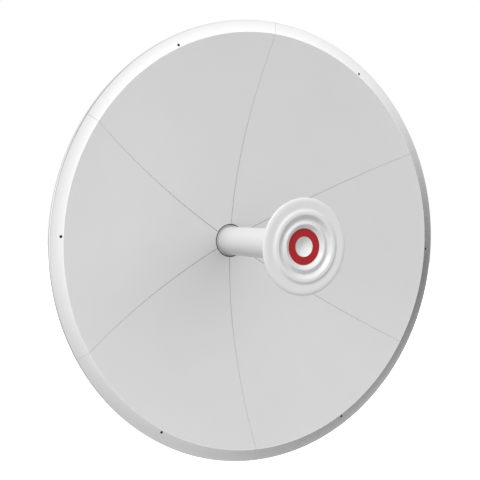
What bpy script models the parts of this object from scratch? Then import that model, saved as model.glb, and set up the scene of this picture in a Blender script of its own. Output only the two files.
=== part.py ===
"""Microwave dish antenna: a six-petal parabolic reflector with an axial feed and a rear tilt bracket.

Metres, +Z up. The dish looks along -Y. The origin is on the rear face of the mount plate, on the
dish's axis, where the antenna is bolted to a mast bracket or a wall.
"""

from math import asin, cos, pi, radians, sin, sqrt, tau

import bmesh
import bpy
from mathutils import Matrix, Vector

# Reflector
RIM_RADIUS = 0.330
CREASE_RADIUS = 0.3115
DISH_DEPTH = 0.111
VERTEX_Y = -0.150
LIP_DROP = 0.003
HEM_BEND = 0.002
HEM_DEPTH = 0.006
SHEET = 0.0015
PETALS = 6
SEAM_GAP = 0.0006
HOLE_IN_PETALS = 0.0264
FLANGE_DEPTH = 0.014
FLANGE_FROM = 0.0897
FLANGE_TO = 0.312
RIM_HOLE_RING = 0.3152
RIM_HOLE = 0.0019

# Tube and head of the feed
TUBE_RADIUS = 0.0228
COLLAR_RADIUS = 0.0256
COLLAR_FRONT = 0.0015
COLLAR_CHAMFER = 0.0006
HEAD_RADIUS = 0.0684
HEAD_REACH = 0.2193
HEAD_RIM_ROUND = 0.003
HEAD_RIM_WIDTH = 0.006
HEAD_RIM_DEPTH = 0.0022
HEAD_THICK = 0.0135
HEAD_BACK_RADIUS = 0.060
RED_RING = (0.0142, 0.0255)
RED_RING_THICK = 0.0015
RED_RING_RECESS = 0.0058
# Radius and height over the red ring of each trough and crest of the face, up to its rim
RIPPLES = ((0.0258, 0), (0.032, 0.004), (0.0388, 0.0004), (0.0455, 0.0058), (0.0482, 0.0058),
           (0.0535, 0.0037), (0.0624, 0.004))
DIMPLE_DEPTH = 0.0055
DIMPLE_WALL = 0.001
FLARE_RADIUS = 0.059
FLARE_EDGE = 0.003
FLARE_LENGTH = 0.030
FLARE_END_WALL = 0.0015

# Hub and feed housing behind the dish
HUB_RADIUS = 0.088
HUB_THICK = 0.018
HUB_CHAMFER = 0.003
LOCK_RING_RADIUS = 0.042
LOCK_RING_THICK = 0.006
LOCK_RING_CHAMFER = 0.0015
HOUSING_HALF = 0.032
HOUSING_LENGTH = 0.044
HOUSING_CORNER = 0.008
COVER_THICK = 0.003
CONNECTOR_X = 0.015
CONNECTOR_BARREL = 0.0078
CONNECTOR_LENGTH = 0.010
CONNECTOR_FLANGE = 0.0105
CONNECTOR_FLANGE_THICK = 0.003
CAP_RADIUS = 0.0098
CAP_LENGTH = 0.014
CAP_CHAMFER = 0.0015

# Tilt bracket and mount plate
PLATE = 0.0035
CHEEK_INNER = 0.046
CHEEK_FOOT = 0.030
CHEEK_HALF_HEIGHT = 0.042
CHEEK_END_Y = -0.030
CHEEK_CORNER = 0.018
EAR_END_Y = -0.096
EAR_HALF_HEIGHT = 0.046
EAR_CORNER = 0.022
PIVOT_Y = -0.062
PIVOT_Z = 0.022
SLOT_RADIUS = 0.044
SLOT_SWING = radians(16)
BOLT = 0.004
BOLT_HOLE = 0.0045
BOLT_HEAD = 0.0075
BOLT_HEAD_THICK = 0.0053
NUT_THICK = 0.0064
WASHER = 0.0085
WASHER_THICK = 0.0016
MOUNT_WIDTH = 0.130
MOUNT_HEIGHT = 0.160
MOUNT_THICK = 0.006
MOUNT_CORNER = 0.008
MOUNT_HOLE_X = 0.050
MOUNT_HOLE_Z = 0.064
MOUNT_HOLE = 0.005

# Fineness and clearance
GAP = 0.0003
BOWL_STEPS = 9
PETAL_STEPS = 10
HEM_STEPS = 3
RIM_HOLE_STEPS = 10
RIPPLE_STEPS = 3
RIM_STEPS = 3
DIMPLE_STEPS = 6
FLARE_STEPS = 6
CORNER_STEPS = 4
SLOT_STEPS = 8
SLOT_END_STEPS = 6
ROUND = 40
SMALL_ROUND = 16
CONNECTOR_ROUND = 24
BOLT_ROUND = 12
CUT_THROUGH_LIP = Vector((0, 0.01, 0))
CUT_THROUGH_PLATE = Vector((0, 0.02, 0))
CUT_THROUGH_BRACKET = Vector((0.08, 0, 0))

# What follows from the sizes above
FOCAL_LENGTH = CREASE_RADIUS ** 2 / (4 * DISH_DEPTH)
CREASE_Y = VERTEX_Y - DISH_DEPTH
HEAD_Y = VERTEX_Y - HEAD_REACH
HEAD_BACK_Y = HEAD_Y + HEAD_THICK
RING_Y = HEAD_Y + RED_RING_RECESS
RING_FLOOR_Y = RING_Y + RED_RING_THICK + GAP
RING_IN, RING_OUT = RED_RING
POCKET_Y = RING_Y + DIMPLE_DEPTH + DIMPLE_WALL
BORE = TUBE_RADIUS + GAP
HUB_BACK_Y = VERTEX_Y + HUB_THICK
HOUSING_Y = HUB_BACK_Y + LOCK_RING_THICK + 2 * GAP
CONNECTOR_Y = HOUSING_Y + HOUSING_LENGTH / 2
CHEEK_OUTER = CHEEK_INNER + PLATE
EAR_INNER = CHEEK_OUTER + GAP
EAR_OUTER = EAR_INNER + PLATE
LOCK_Z = PIVOT_Z - SLOT_RADIUS


def clear_scene():
    for obj in list(bpy.data.objects):
        bpy.data.objects.remove(obj)


def material(name, colour, roughness, metallic=0.0):
    made = bpy.data.materials.new(name)
    made.use_nodes = True
    shader = made.node_tree.nodes["Principled BSDF"]
    shader.inputs["Base Color"].default_value = (*colour, 1.0)
    shader.inputs["Roughness"].default_value = roughness
    shader.inputs["Metallic"].default_value = metallic
    return made


def link_mesh(name, bm):
    mesh = bpy.data.meshes.new(name)
    bm.to_mesh(mesh)
    bm.free()
    obj = bpy.data.objects.new(name, mesh)
    bpy.context.scene.collection.objects.link(obj)
    return obj


def add_piece(name, bm, finish):
    piece = link_mesh(name, bm)
    piece.data.materials.append(finish)
    piece.data.shade_smooth()
    piece.data.set_sharp_from_angle(angle=radians(30))
    return piece


def add_cutter(name, bm):
    tool = link_mesh(name, bm)
    tool.hide_render = True
    tool.display_type = "WIRE"
    return tool


def cut(piece, tool):
    boolean = piece.modifiers.new("cut", "BOOLEAN")
    boolean.operation = "DIFFERENCE"
    boolean.object = tool


def polar(centre, radius, turn):
    """The point at a radius and an angle from a centre, in a plane."""
    return (centre[0] + radius * cos(turn), centre[1] + radius * sin(turn))


def arc(centre, radius, start, end, steps):
    """Points round a centre, from one angle to another, both included."""
    return [polar(centre, radius, start + (end - start) * i / steps) for i in range(steps + 1)]


def turned(profile, steps=ROUND):
    """A solid of revolution about the Y axis, from a closed outline of (radius, y) points."""
    bm = bmesh.new()
    verts = [bm.verts.new((radius, y, 0)) for radius, y in profile]
    pairs = list(zip(verts, verts[1:]))
    on_axis = profile[0][0] == 0 and profile[-1][0] == 0
    if not on_axis:
        pairs.append((verts[-1], verts[0]))
    edges = [bm.edges.new(pair) for pair in pairs]
    bmesh.ops.spin(bm, geom=verts + edges, cent=(0, 0, 0), axis=(0, 1, 0), angle=tau, steps=steps,
                   use_merge=True)
    bmesh.ops.remove_doubles(bm, verts=bm.verts, dist=1e-6)
    bmesh.ops.recalc_face_normals(bm, faces=bm.faces)
    return bm


def extruded(points, along):
    """A prism: the face through these points, drawn out along a vector."""
    bm = bmesh.new()
    face = bm.faces.new([bm.verts.new(point) for point in points])
    made = bmesh.ops.extrude_face_region(bm, geom=[face])
    bmesh.ops.translate(bm, verts=new_verts(made), vec=along)
    bmesh.ops.recalc_face_normals(bm, faces=bm.faces)
    return bm


def new_verts(made):
    return [v for v in made["geom"] if isinstance(v, bmesh.types.BMVert)]


def slab(low, high):
    """A box between two corners."""
    bm = bmesh.new()
    low, high = Vector(low), Vector(high)
    place = Matrix.Translation((low + high) / 2) @ Matrix.Diagonal((*(high - low), 1))
    bmesh.ops.create_cube(bm, size=1, matrix=place)
    return bm


def round_edges_along(bm, axis, radius, at=None):
    """Rounds the edges that run along an axis (0 to 2), all of them or those at one y."""
    edges = []
    for edge in bm.edges:
        start, end = (v.co for v in edge.verts)
        runs_along = abs((end - start).normalized()[axis]) > 0.999
        if runs_along and (at is None or abs(start.y - at) < 1e-6):
            edges.append(edge)
    bmesh.ops.bevel(bm, geom=edges, offset=radius, segments=CORNER_STEPS, profile=0.5,
                    affect="EDGES")


def hole_cutter(name, spots, half_depth, radius, steps=SMALL_ROUND):
    """Rods centred on these spots, along half_depth and as far again the other way."""
    bm = bmesh.new()
    turn = Vector((0, 0, 1)).rotation_difference(half_depth).to_matrix().to_4x4()
    for spot in spots:
        bmesh.ops.create_cone(bm, cap_ends=True, segments=steps, radius1=radius, radius2=radius,
                              depth=2 * half_depth.length, matrix=Matrix.Translation(spot) @ turn)
    return add_cutter(name, bm)


def bowl_y(radius):
    """The reflector's front surface."""
    return VERTEX_Y - radius ** 2 / (4 * FOCAL_LENGTH)


def bowl_back_y(radius):
    """The reflector's rear surface, one sheet behind the front."""
    slope = radius / (2 * FOCAL_LENGTH)
    return bowl_y(radius) + SHEET * sqrt(1 + slope ** 2)


def bowl_stations():
    span = (CREASE_RADIUS - HOLE_IN_PETALS) / BOWL_STEPS
    return [HOLE_IN_PETALS + i * span for i in range(BOWL_STEPS + 1)]


def petal_profile():
    """(radius, y) from the centre hole out along the bowl, over the lip and round the hem."""
    bowl = [(radius, bowl_y(radius)) for radius in bowl_stations()]
    lip_y = CREASE_Y + LIP_DROP
    hem = arc((RIM_RADIUS - HEM_BEND, lip_y + HEM_BEND), HEM_BEND, -pi / 2, 0, HEM_STEPS)
    return bowl + hem + [(RIM_RADIUS, lip_y + HEM_DEPTH)]


def petal_rows(bm):
    """Rows of vertices across one petal centred on 12 o'clock, from the centre hole outwards."""
    rows = []
    for radius, y in petal_profile():
        half = pi / PETALS - asin(SEAM_GAP / 2 / radius)
        turns = [half * (2 * j / PETAL_STEPS - 1) for j in range(PETAL_STEPS + 1)]
        rows.append([bm.verts.new((radius * sin(t), y, radius * cos(t))) for t in turns])
    return rows


def fold_flange(bm, line):
    """Folds a flange back from a line of vertices along a seam."""
    edges = [bm.edges.get(pair) for pair in zip(line, line[1:])]
    made = bmesh.ops.extrude_edge_only(bm, edges=edges)
    bmesh.ops.translate(bm, verts=new_verts(made), vec=(0, FLANGE_DEPTH, 0))


def petal_sheet():
    """One petal's front surface, with a flange folded back at each seam."""
    bm = bmesh.new()
    rows = petal_rows(bm)
    for inner, outer in zip(rows, rows[1:]):
        for j in range(PETAL_STEPS):
            bm.faces.new((inner[j], outer[j], outer[j + 1], inner[j + 1]))
    for side in (0, PETAL_STEPS):
        fold_flange(bm, [row[side] for row in rows
                         if FLANGE_FROM <= row[side].co.xz.length <= FLANGE_TO])
    bmesh.ops.recalc_face_normals(bm, faces=bm.faces)
    bm.faces.ensure_lookup_table()
    if bm.faces[0].normal.y > 0:
        bmesh.ops.reverse_faces(bm, faces=bm.faces)
    return bm


def make_petals(paint):
    turns = [tau * (k + 0.5) / PETALS for k in range(PETALS)]
    spots = [Vector((RIM_HOLE_RING * sin(t), CREASE_Y, RIM_HOLE_RING * cos(t))) for t in turns]
    rim_holes = hole_cutter("rim_hole_cutter", spots, CUT_THROUGH_LIP, RIM_HOLE, RIM_HOLE_STEPS)
    for k, turn in enumerate(turns):
        petal = add_piece(f"petal_{k + 1}", petal_sheet(), paint)
        petal.rotation_euler.y = turn
        wall = petal.modifiers.new("sheet", "SOLIDIFY")
        wall.thickness = SHEET
        wall.offset = -1
        wall.use_even_offset = True
        cut(petal, rim_holes)


def make_tube(plastic):
    front = HEAD_BACK_Y + GAP
    back = HUB_BACK_Y - GAP
    profile = [(0, front), (TUBE_RADIUS, front), (TUBE_RADIUS, back), (0, back)]
    add_piece("feed_tube", turned(profile), plastic)


def make_collar(plastic):
    front = VERTEX_Y - COLLAR_FRONT
    back = bowl_back_y(HOLE_IN_PETALS)
    profile = [
        (BORE, front),
        (COLLAR_RADIUS - COLLAR_CHAMFER, front),
        (COLLAR_RADIUS, front + COLLAR_CHAMFER),
        (COLLAR_RADIUS, back),
        (BORE, back),
    ]
    add_piece("feed_collar", turned(profile), plastic)


def make_head_back(plastic):
    """The flared back of the head, which narrows down to the tube."""
    front = HEAD_BACK_Y + GAP
    sweep = FLARE_RADIUS - BORE - FLARE_END_WALL
    flare = []
    for i in range(FLARE_STEPS + 1):
        turn = pi / 2 * i / FLARE_STEPS
        y = front + FLARE_EDGE + FLARE_LENGTH * (1 - cos(turn))
        flare.append((FLARE_RADIUS - sweep * sin(turn), y))
    end = front + FLARE_EDGE + FLARE_LENGTH
    profile = [(BORE, front), (FLARE_RADIUS, front)] + flare + [(BORE, end)]
    add_piece("head_back", turned(profile), plastic)


def face_ripples():
    """(radius, y) over the face's crests and troughs, with a smooth slope from each to the next."""
    points = []
    for (inner, low), (outer, high) in zip(RIPPLES, RIPPLES[1:]):
        for i in range(RIPPLE_STEPS):
            share = i / RIPPLE_STEPS
            height = low + (high - low) * (1 - cos(pi * share)) / 2
            points.append((inner + (outer - inner) * share, RING_Y - height))
    return points


def face_rim():
    """(radius, y) round the head's rim: wide and shallow in front, a quarter turn behind."""
    front_y = RING_Y - RIPPLES[-1][1]
    points = []
    for i in range(RIM_STEPS):
        turn = pi / 2 * i / RIM_STEPS
        points.append((HEAD_RADIUS - HEAD_RIM_WIDTH * (1 - sin(turn)),
                       front_y + HEAD_RIM_DEPTH * (1 - cos(turn))))
    centre = (HEAD_RADIUS - HEAD_RIM_ROUND, front_y + HEAD_RIM_DEPTH)
    return points + arc(centre, HEAD_RIM_ROUND, 0, pi / 2, RIM_STEPS)


def make_head_face(plastic):
    """The rippled disc, with a seat for the red ring and a pocket for the cap in its middle."""
    seat = RIPPLES[0][0]
    pocket = RING_IN + GAP
    middle = [(0, POCKET_Y), (pocket, POCKET_Y), (pocket, RING_FLOOR_Y), (seat, RING_FLOOR_Y)]
    back = [(HEAD_BACK_RADIUS, HEAD_BACK_Y), (0, HEAD_BACK_Y)]
    add_piece("head_face", turned(middle + face_ripples() + face_rim() + back), plastic)


def make_red_ring(red):
    front = RING_Y
    back = RING_Y + RED_RING_THICK
    inner = RING_IN + GAP
    profile = [(inner, front), (RING_OUT, front), (RING_OUT, back), (inner, back)]
    add_piece("red_ring", turned(profile), red)


def make_centre_cap(plastic):
    """The small dished cap inside the red ring."""
    back = POCKET_Y - GAP
    shares = [i / DIMPLE_STEPS for i in range(DIMPLE_STEPS + 1)]
    dimple = [(RING_IN * share, RING_Y + DIMPLE_DEPTH * (1 - share ** 2)) for share in shares]
    add_piece("centre_cap", turned(dimple + [(RING_IN, back), (0, back)]), plastic)


def make_hub_plate(casting):
    """The plate behind the petals' middle, dished in front to follow them."""
    stations = [radius for radius in bowl_stations() if radius < HUB_RADIUS]
    front = [(radius, bowl_back_y(radius) + GAP) for radius in stations + [HUB_RADIUS]]
    back = [
        (HUB_RADIUS, HUB_BACK_Y - HUB_CHAMFER),
        (HUB_RADIUS - HUB_CHAMFER, HUB_BACK_Y),
        (BORE, HUB_BACK_Y),
    ]
    add_piece("hub_plate", turned([(BORE, front[0][1])] + front + back), casting)


def make_lock_ring(metal):
    front = HUB_BACK_Y + GAP
    back = front + LOCK_RING_THICK
    profile = [
        (0, front),
        (LOCK_RING_RADIUS, front),
        (LOCK_RING_RADIUS, back - LOCK_RING_CHAMFER),
        (LOCK_RING_RADIUS - LOCK_RING_CHAMFER, back),
        (0, back),
    ]
    add_piece("lock_ring", turned(profile), metal)


def make_rounded_block(name, front, thick, casting):
    """A square block with rounded corners, centred on the dish's axis."""
    half = HOUSING_HALF
    block = slab((-half, front, -half), (half, front + thick, half))
    round_edges_along(block, 1, HOUSING_CORNER)
    add_piece(name, block, casting)


def make_housing(casting):
    make_rounded_block("feed_housing", HOUSING_Y, HOUSING_LENGTH, casting)
    make_rounded_block("housing_cover", HOUSING_Y + HOUSING_LENGTH + GAP, COVER_THICK, casting)


def make_connector(side, x, metal):
    profile = [
        (0, 0),
        (CONNECTOR_FLANGE, 0),
        (CONNECTOR_FLANGE, CONNECTOR_FLANGE_THICK),
        (CONNECTOR_BARREL, CONNECTOR_FLANGE_THICK),
        (CONNECTOR_BARREL, CONNECTOR_LENGTH),
        (0, CONNECTOR_LENGTH),
    ]
    connector = add_piece(f"connector_{side}", turned(profile, CONNECTOR_ROUND), metal)
    connector.rotation_euler.x = -pi / 2
    connector.location = (x, CONNECTOR_Y, -HOUSING_HALF - GAP)


def make_connector_cap(side, x, rubber):
    profile = [
        (0, 0),
        (CAP_RADIUS, 0),
        (CAP_RADIUS, CAP_LENGTH - CAP_CHAMFER),
        (CAP_RADIUS - CAP_CHAMFER, CAP_LENGTH),
        (0, CAP_LENGTH),
    ]
    cap = add_piece(f"connector_cap_{side}", turned(profile, CONNECTOR_ROUND), rubber)
    cap.rotation_euler.x = -pi / 2
    cap.location = (x, CONNECTOR_Y, -HOUSING_HALF - CONNECTOR_LENGTH - 2 * GAP)


def make_cheek(side, sign, steel, holes):
    """An angle plate: its foot on the hub, its long leg back to the mount's ear."""
    foot_y = HUB_BACK_Y + GAP
    outline = [
        (CHEEK_INNER, foot_y),
        (CHEEK_INNER + CHEEK_FOOT, foot_y),
        (CHEEK_INNER + CHEEK_FOOT, foot_y + PLATE),
        (CHEEK_OUTER, foot_y + PLATE),
        (CHEEK_OUTER, CHEEK_END_Y),
        (CHEEK_INNER, CHEEK_END_Y),
    ]
    points = [(sign * x, y, -CHEEK_HALF_HEIGHT) for x, y in outline]
    cheek = extruded(points, (0, 0, 2 * CHEEK_HALF_HEIGHT))
    round_edges_along(cheek, 0, CHEEK_CORNER, at=CHEEK_END_Y)
    cut(add_piece(f"tilt_cheek_{side}", cheek, steel), holes)


def make_ear(side, sign, steel, pivot_hole, slot):
    """A plate that stands forward from the mount plate, with the pivot hole and the arc slot."""
    low_x, high_x = sorted((sign * EAR_INNER, sign * EAR_OUTER))
    ear = slab((low_x, EAR_END_Y, -EAR_HALF_HEIGHT), (high_x, -MOUNT_THICK - GAP, EAR_HALF_HEIGHT))
    round_edges_along(ear, 0, EAR_CORNER, at=EAR_END_Y)
    piece = add_piece(f"mount_ear_{side}", ear, steel)
    cut(piece, pivot_hole)
    cut(piece, slot)


def slot_outline():
    """The slot round the tilt pivot, as (y, z) points: two arcs joined by round ends."""
    pivot = (PIVOT_Y, PIVOT_Z)
    first = -pi / 2 - SLOT_SWING
    last = -pi / 2 + SLOT_SWING
    outer = arc(pivot, SLOT_RADIUS + BOLT_HOLE, first, last, SLOT_STEPS)
    inner = arc(pivot, SLOT_RADIUS - BOLT_HOLE, last, first, SLOT_STEPS)
    last_end = arc(polar(pivot, SLOT_RADIUS, last), BOLT_HOLE, last, last + pi, SLOT_END_STEPS)
    first_end = arc(polar(pivot, SLOT_RADIUS, first), BOLT_HOLE, first + pi, first + tau,
                    SLOT_END_STEPS)
    return outer + last_end[1:-1] + inner + first_end[1:-1]


def make_bolt(name, sign, y, z, bolt_steel):
    """A bolt through ear and cheek, with its washers and nut, turned in one piece."""
    head_x = EAR_OUTER + GAP
    head_end = head_x + WASHER_THICK + BOLT_HEAD_THICK
    nut_x = CHEEK_INNER - GAP
    nut_end = nut_x - WASHER_THICK - NUT_THICK
    profile = [
        (0, head_end),
        (BOLT_HEAD, head_end),
        (BOLT_HEAD, head_x + WASHER_THICK),
        (WASHER, head_x + WASHER_THICK),
        (WASHER, head_x),
        (BOLT, head_x),
        (BOLT, nut_x),
        (WASHER, nut_x),
        (WASHER, nut_x - WASHER_THICK),
        (BOLT_HEAD, nut_x - WASHER_THICK),
        (BOLT_HEAD, nut_end),
        (0, nut_end),
    ]
    bolt = add_piece(name, turned(profile, BOLT_ROUND), bolt_steel)
    bolt.rotation_euler.z = -sign * pi / 2
    bolt.location = (0, y, z)


def make_mount_plate(steel):
    width, height = MOUNT_WIDTH / 2, MOUNT_HEIGHT / 2
    plate = slab((-width, -MOUNT_THICK, -height), (width, 0, height))
    round_edges_along(plate, 1, MOUNT_CORNER)
    piece = add_piece("mount_plate", plate, steel)
    spots = [Vector((x, 0, z)) for x in (-MOUNT_HOLE_X, MOUNT_HOLE_X)
             for z in (-MOUNT_HOLE_Z, MOUNT_HOLE_Z)]
    cut(piece, hole_cutter("mount_hole_cutter", spots, CUT_THROUGH_PLATE, MOUNT_HOLE))


def make_bracket(steel, bolt_steel):
    pivot = Vector((0, PIVOT_Y, PIVOT_Z))
    lock = Vector((0, PIVOT_Y, LOCK_Z))
    cheek_holes = hole_cutter("cheek_hole_cutter", [pivot, lock], CUT_THROUGH_BRACKET, BOLT_HOLE)
    pivot_hole = hole_cutter("pivot_hole_cutter", [pivot], CUT_THROUGH_BRACKET, BOLT_HOLE)
    points = [(-CUT_THROUGH_BRACKET.x, y, z) for y, z in slot_outline()]
    slot = add_cutter("slot_cutter", extruded(points, 2 * CUT_THROUGH_BRACKET))
    for side, sign in (("left", -1), ("right", 1)):
        make_cheek(side, sign, steel, cheek_holes)
        make_ear(side, sign, steel, pivot_hole, slot)
        make_bolt(f"tilt_pivot_{side}", sign, PIVOT_Y, PIVOT_Z, bolt_steel)
        make_bolt(f"tilt_lock_{side}", sign, PIVOT_Y, LOCK_Z, bolt_steel)
    make_mount_plate(steel)


def make_feed(plastic, red):
    make_tube(plastic)
    make_collar(plastic)
    make_head_back(plastic)
    make_head_face(plastic)
    make_red_ring(red)
    make_centre_cap(plastic)


def make_hub(casting, metal, rubber):
    make_hub_plate(casting)
    make_lock_ring(metal)
    make_housing(casting)
    for side, x in (("left", -CONNECTOR_X), ("right", CONNECTOR_X)):
        make_connector(side, x, metal)
        make_connector_cap(side, x, rubber)


def main():
    clear_scene()
    paint = material("petal_paint", (0.80, 0.80, 0.80), 0.45)
    plastic = material("white_plastic", (0.84, 0.84, 0.83), 0.35)
    red = material("red_plastic", (0.42, 0.015, 0.02), 0.4)
    casting = material("painted_casting", (0.72, 0.72, 0.72), 0.5)
    metal = material("nickel", (0.55, 0.54, 0.50), 0.3, 1.0)
    rubber = material("black_rubber", (0.03, 0.03, 0.03), 0.7)
    steel = material("zinc_steel", (0.55, 0.56, 0.57), 0.45, 1.0)
    bolt_steel = material("bolt_steel", (0.62, 0.62, 0.62), 0.3, 1.0)
    make_petals(paint)
    make_feed(plastic, red)
    make_hub(casting, metal, rubber)
    make_bracket(steel, bolt_steel)


main()
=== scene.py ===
"""Microwave dish antenna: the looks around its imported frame, laid out as an add-on.

Metres, +Z up. The dish looks along -Y and its axis is the world's Y axis through the origin, which
lies on the rear face of the mount plate.
"""

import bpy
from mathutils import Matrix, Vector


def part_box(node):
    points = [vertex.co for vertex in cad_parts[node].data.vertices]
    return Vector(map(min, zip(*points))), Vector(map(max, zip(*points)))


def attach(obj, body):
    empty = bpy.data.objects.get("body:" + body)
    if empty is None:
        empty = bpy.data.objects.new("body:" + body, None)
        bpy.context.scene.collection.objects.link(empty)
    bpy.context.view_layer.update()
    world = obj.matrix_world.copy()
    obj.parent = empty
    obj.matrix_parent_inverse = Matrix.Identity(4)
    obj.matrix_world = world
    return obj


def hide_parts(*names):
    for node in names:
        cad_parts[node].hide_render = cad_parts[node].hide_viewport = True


bl_info = {
    "name": "Microwave Dish Antenna",
    "version": (1, 0, 0),
    "blender": (4, 5, 0),
    "location": "3D View > Sidebar > Dish",
    "description": "Petal reflector, tube feed, hub and tilt bracket around the packed frame",
    "category": "Object",
}

from math import atan2, cos, pi, radians, sin, tau

import bmesh
import bpy
from bpy.props import FloatProperty, FloatVectorProperty, IntProperty, PointerProperty
from mathutils import Matrix, Vector

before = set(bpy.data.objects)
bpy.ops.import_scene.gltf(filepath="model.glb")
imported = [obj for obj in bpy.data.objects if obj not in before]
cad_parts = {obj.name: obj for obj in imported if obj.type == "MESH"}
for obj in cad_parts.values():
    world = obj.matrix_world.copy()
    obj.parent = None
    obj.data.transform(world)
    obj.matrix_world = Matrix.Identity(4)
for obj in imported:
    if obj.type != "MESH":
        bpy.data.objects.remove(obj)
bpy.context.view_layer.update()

# Radius of the dish at its rim
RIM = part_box("petal_2")[1].x

# Clearance between neighbouring pieces, as in the frame
GAP = 0.0003

# Steps round a full turn: large rings, tubes, connectors, small fasteners, hexagons
RING_STEPS = 128
TUBE_STEPS = 96
BARREL_STEPS = 48
SMALL_STEPS = 24
HEX = 6

# How far a tool that cuts a hole reaches to each side of its spot
REACH = 0.01

# Below this distance two places count as one
NEAR = 1e-6


# Meshes

def polar(centre, radius, turn):
    """The point at a radius and an angle from a centre, in a plane."""
    return (centre[0] + radius * cos(turn), centre[1] + radius * sin(turn))


def arc(centre, radius, start, end, steps):
    """Points round a centre, from one angle to another, both included."""
    return [polar(centre, radius, start + (end - start) * i / steps) for i in range(steps + 1)]


def fillet(before, corner, after, radius, steps=4):
    """The arc that rounds a corner of an outline between the points before and after it."""
    corner = Vector(corner)
    back = (Vector(before) - corner).normalized()
    ahead = (Vector(after) - corner).normalized()
    half = back.angle(ahead) / 2
    centre = corner + (back + ahead).normalized() * radius / sin(half)
    reach = radius * cos(half) / sin(half)
    start = corner + back * reach - centre
    end = corner + ahead * reach - centre
    first = atan2(start.y, start.x)
    sweep = (atan2(end.y, end.x) - first + pi) % tau - pi
    return arc(centre, radius, first, first + sweep, steps)


def along(spot, direction):
    """A placement that turns +Y to a direction and moves the origin to a spot."""
    turn = Vector((0, 1, 0)).rotation_difference(Vector(direction)).to_matrix().to_4x4()
    return Matrix.Translation(spot) @ turn


def band(inner, outer, start, end):
    """The outline of a plain ring or disc: its four corners as (radius, y)."""
    return [(inner, start), (outer, start), (outer, end), (inner, end)]


def spun(profile, steps=TUBE_STEPS):
    """A solid of revolution about the Y axis, from (radius, y) points."""
    bm = bmesh.new()
    verts = [bm.verts.new((radius, y, 0)) for radius, y in profile]
    pairs = list(zip(verts, verts[1:]))
    if profile[0][0] or profile[-1][0]:
        pairs.append((verts[-1], verts[0]))
    edges = [bm.edges.new(pair) for pair in pairs]
    bmesh.ops.spin(bm, geom=verts + edges, cent=(0, 0, 0), axis=(0, 1, 0), angle=tau, steps=steps,
                   use_merge=True)
    bmesh.ops.remove_doubles(bm, verts=bm.verts, dist=NEAR)
    return bm


def turn_solid(bm, profile, steps, place):
    """Adds a solid of revolution to a mesh, turned from the Y axis into its place."""
    solid = spun(profile, steps)
    bmesh.ops.transform(solid, matrix=place, verts=solid.verts)
    mesh = bpy.data.meshes.new("solid")
    solid.to_mesh(mesh)
    solid.free()
    bm.from_mesh(mesh)
    bpy.data.meshes.remove(mesh)


def new_verts(made):
    """The vertices that an extrusion made."""
    return [v for v in made["geom"] if isinstance(v, bmesh.types.BMVert)]


def extruded(points, reach):
    """A prism: the face through these points, drawn out along a vector."""
    bm = bmesh.new()
    face = bm.faces.new([bm.verts.new(point) for point in points])
    made = bmesh.ops.extrude_face_region(bm, geom=[face])
    bmesh.ops.translate(bm, verts=new_verts(made), vec=reach)
    return bm


def add_block(bm, low, high):
    """Adds a box between two corners."""
    low, high = Vector(low), Vector(high)
    place = Matrix.Translation((low + high) / 2) @ Matrix.Diagonal((*(high - low), 1))
    return bmesh.ops.create_cube(bm, size=1, matrix=place)


def round_edges_along(bm, axis, radius, where=None):
    """Rounds the edges that run along an axis (0 to 2), all of them or those whose middle fits."""
    edges = []
    for edge in bm.edges:
        start, end = (v.co for v in edge.verts)
        runs_along = abs((end - start).normalized()[axis]) > 0.999
        if runs_along and (where is None or where((start + end) / 2)):
            edges.append(edge)
    bmesh.ops.bevel(bm, geom=edges, offset=radius, segments=8, profile=0.5, affect="EDGES",
                    material=-1)


def rounded_block(low, high, axis, radius, where=None):
    """A box between two corners, with its edges along an axis rounded."""
    bm = bmesh.new()
    add_block(bm, low, high)
    round_edges_along(bm, axis, radius, where)
    return bm


def new_object(name, bm, closed=True):
    """Turns a mesh under work into an object; a closed one has its faces turned outwards."""
    if closed:
        bmesh.ops.recalc_face_normals(bm, faces=bm.faces)
    mesh = bpy.data.meshes.new(name)
    bm.to_mesh(mesh)
    bm.free()
    obj = bpy.data.objects.new(name, mesh)
    bpy.context.scene.collection.objects.link(obj)
    return obj


def bake(obj):
    """Bakes a piece's modifiers into its mesh."""
    graph = bpy.context.evaluated_depsgraph_get()
    mesh = bpy.data.meshes.new_from_object(obj.evaluated_get(graph))
    obj.modifiers.clear()
    obj.data = mesh


def cut_out(obj, *tools):
    """Cuts the tools out of a piece, then bakes the result and removes the tools."""
    for tool in tools:
        boolean = obj.modifiers.new("cut", "BOOLEAN")
        boolean.operation = "DIFFERENCE"
        boolean.solver = "EXACT"
        boolean.object = tool
    bake(obj)
    for tool in tools:
        bpy.data.objects.remove(tool)


def hole_tool(name, spots, direction, reach, radius, steps=32):
    """Rods centred on these spots, to cut holes along a direction."""
    bm = bmesh.new()
    for spot in spots:
        turn_solid(bm, band(0, radius, -reach, reach), steps, along(spot, direction))
    return new_object(name, bm)


def round_edges(obj, width, segments=2, angle=35):
    """Rounds a piece's edges that are sharper than an angle in degrees."""
    bevel = obj.modifiers.new("edge", "BEVEL")
    bevel.width = width
    bevel.segments = segments
    bevel.limit_method = "ANGLE"
    bevel.angle_limit = radians(angle)
    bevel.harden_normals = True


def finish_piece(obj, look, *nodes, sharp=None, slot=None):
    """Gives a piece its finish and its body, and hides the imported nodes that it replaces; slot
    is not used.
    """
    obj.data.materials.clear()
    obj.data.materials.append(finish(look))
    obj.data.shade_smooth()
    if sharp:
        obj.data.set_sharp_from_angle(angle=radians(sharp))
    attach(obj, "root")
    if nodes:
        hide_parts(*nodes)


# Properties

def length(name, default, description):
    """A size in metres."""
    return FloatProperty(name=name, description=description, default=default, precision=5,
                         subtype="DISTANCE", unit="LENGTH")


def degrees(name, default, description):
    """An angle, with its default in degrees."""
    return FloatProperty(name=name, description=description, default=radians(default),
                         subtype="ANGLE", unit="ROTATION")


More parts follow.
